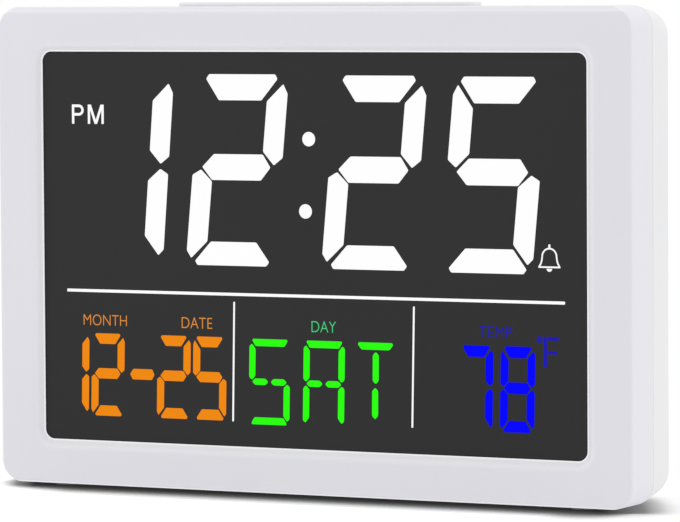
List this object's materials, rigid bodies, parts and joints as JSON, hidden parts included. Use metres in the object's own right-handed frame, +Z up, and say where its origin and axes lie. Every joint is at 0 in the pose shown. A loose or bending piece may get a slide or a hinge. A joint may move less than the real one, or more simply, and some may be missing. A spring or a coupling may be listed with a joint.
{
  "type": "digital day clock",
  "caption": "Desktop dementia day clock: white case with a bevelled window over a wide dark segment display, press bar on top, rear buttons, battery door and fold-out leg.",
  "frame": {"origin": "centre of the bounding box's bottom, on the table under the middle of the case", "axes": "+Z up, +X to the right as seen from the front, the display faces -Y"},
  "size_m": [0.19, 0.028, 0.1325],
  "materials": {
    "case_white": "fine satin",
    "key_white": "satin",
    "plunger_black": "moulded",
    "switch_black": "moulded",
    "foam_black": "foam",
    "display_dark": "anti-glare film",
    "film_dark": "film",
    "film_colour": "printed film",
    "lcd_glass": "clear",
    "diffuser_white": "matt film",
    "guide_clear": "clear acrylic",
    "tray_white": "moulded",
    "board_green": "solder mask",
    "led_white": "moulded",
    "zebra_grey": "silicone",
    "chip_black": "moulded",
    "steel_can": "satin",
    "sensor_black": "epoxy",
    "contact_metal": "nickel plated",
    "cable_white": "film",
    "lead_red": "insulation",
    "cell_jacket": "shrink film",
    "screw_steel": "zinc plated",
    "foot_rubber": "matt"
  },
  "bodies": {
    "case": {"front_frame": "case_white", "rear_cover": "case_white", "button_switches": "switch_black", "snooze_switches": "switch_black", "power_jack": "switch_black", "alarm_buzzer": "switch_black", "dust_gasket": "foam_black", "front_polariser": "display_dark", "rear_polariser": "film_dark", "colour_film": "film_colour", "lcd_front_glass": "lcd_glass", "lcd_rear_glass": "lcd_glass", "diffuser_sheet": "diffuser_white", "reflector_sheet": "diffuser_white", "light_guide": "guide_clear", "display_tray": "tray_white", "main_board": "board_green", "button_board": "board_green", "snooze_board": "board_green", "backlight_board": "board_green", "backlight_leds": "led_white", "zebra_strip": "zebra_grey", "controller_chip": "chip_black", "voltage_regulator": "chip_black", "chip_parts": "chip_black", "crystal_can": "steel_can", "filter_capacitors": "steel_can", "temp_sensor": "sensor_black", "jack_pin": "contact_metal", "cell_contacts": "contact_metal", "cell_springs": "contact_metal", "control_cable": "cable_white", "snooze_cable": "cable_white", "battery_leads": "lead_red", "battery_cells": "cell_jacket", "case_screws": "screw_steel", "tray_screws": "screw_steel", "board_screws": "screw_steel", "control_screws": "screw_steel", "rubber_feet": "foot_rubber"},
    "snooze": {"snooze_bar": "key_white", "snooze_plungers": "plunger_black"},
    "door": {"battery_door": "case_white"},
    "leg": {"stand_leg": "case_white"},
    "set_key": {"set_button": "key_white", "set_plunger": "plunger_black"},
    "down_key": {"down_button": "key_white", "down_plunger": "plunger_black"},
    "up_key": {"up_button": "key_white", "up_plunger": "plunger_black"},
    "alarm_key": {"alarm_button": "key_white", "alarm_plunger": "plunger_black"},
    "light_key": {"light_button": "key_white", "light_plunger": "plunger_black"}
  },
  "joints": [
    {"name": "snooze_press", "type": "slide", "parent": "case", "child": "snooze", "axis": [0, 0, -1], "range_m": [0, 0.0006], "stiffness_N_per_m": 2500, "springref_m": -0.0004},
    {"name": "door_swing", "type": "hinge", "parent": "case", "child": "door", "pos_m": [0.057, 0.0129, 0.01705], "axis": [-1, 0, 0], "range_deg": [0, 95]},
    {"name": "leg_fold", "type": "hinge", "parent": "case", "child": "leg", "pos_m": [0, 0.0113, 0.08005], "axis": [1, 0, 0], "range_deg": [0, 40]},
    {"name": "set_press", "type": "slide", "parent": "case", "child": "set_key", "axis": [0, -1, 0], "range_m": [0, 0.0005], "stiffness_N_per_m": 2000, "springref_m": -0.0003},
    {"name": "down_press", "type": "slide", "parent": "case", "child": "down_key", "axis": [0, -1, 0], "range_m": [0, 0.0005], "stiffness_N_per_m": 2000, "springref_m": -0.0003},
    {"name": "up_press", "type": "slide", "parent": "case", "child": "up_key", "axis": [0, -1, 0], "range_m": [0, 0.0005], "stiffness_N_per_m": 2000, "springref_m": -0.0003},
    {"name": "alarm_press", "type": "slide", "parent": "case", "child": "alarm_key", "axis": [0, -1, 0], "range_m": [0, 0.0005], "stiffness_N_per_m": 2000, "springref_m": -0.0003},
    {"name": "light_press", "type": "slide", "parent": "case", "child": "light_key", "axis": [0, -1, 0], "range_m": [0, 0.0005], "stiffness_N_per_m": 2000, "springref_m": -0.0003}
  ]
}
